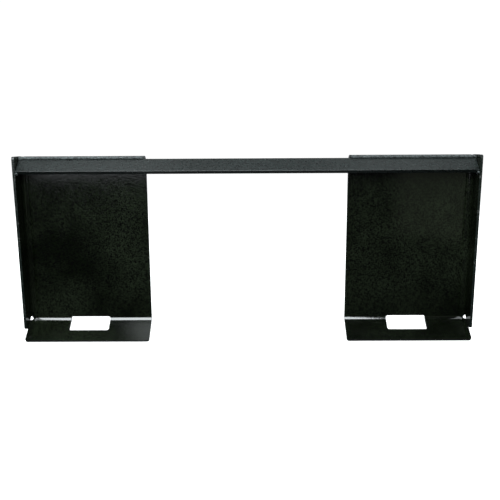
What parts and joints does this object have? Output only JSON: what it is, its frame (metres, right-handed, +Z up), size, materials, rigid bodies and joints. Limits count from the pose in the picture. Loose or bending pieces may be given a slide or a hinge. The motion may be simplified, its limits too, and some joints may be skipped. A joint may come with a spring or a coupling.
{
  "type": "skid steer quick attach frame",
  "caption": "Weld-on quick-attach frame for a skid steer attachment: two formed plates with wedge slots, joined by a sloping hook bar that the coupler picks up",
  "frame": {"origin": "middle of the overall width and depth, level with the lowest point of the bottom flanges' tips", "axes": "+X along the hook bar, to the right when seen from the machine; +Y from the machine to the attachment, square to the plates' flat backs; +Z up"},
  "size_m": [1.156, 0.0588, 0.4754],
  "materials": {
    "plate_paint": "thin black paint on formed sheet steel, satin",
    "bar_paint": "thin black paint on hot-rolled flat bar, satin",
    "weld_paint": "thin black paint over rippled weld metal, satin"
  },
  "bodies": {
    "root": {"left_plate": "plate_paint", "right_plate": "plate_paint", "hook_bar": "bar_paint", "left_top_weld": "weld_paint", "right_top_weld": "weld_paint", "left_root_welds": "weld_paint", "right_root_welds": "weld_paint", "left_end_weld": "weld_paint", "right_end_weld": "weld_paint"}
  },
  "joints": []
}
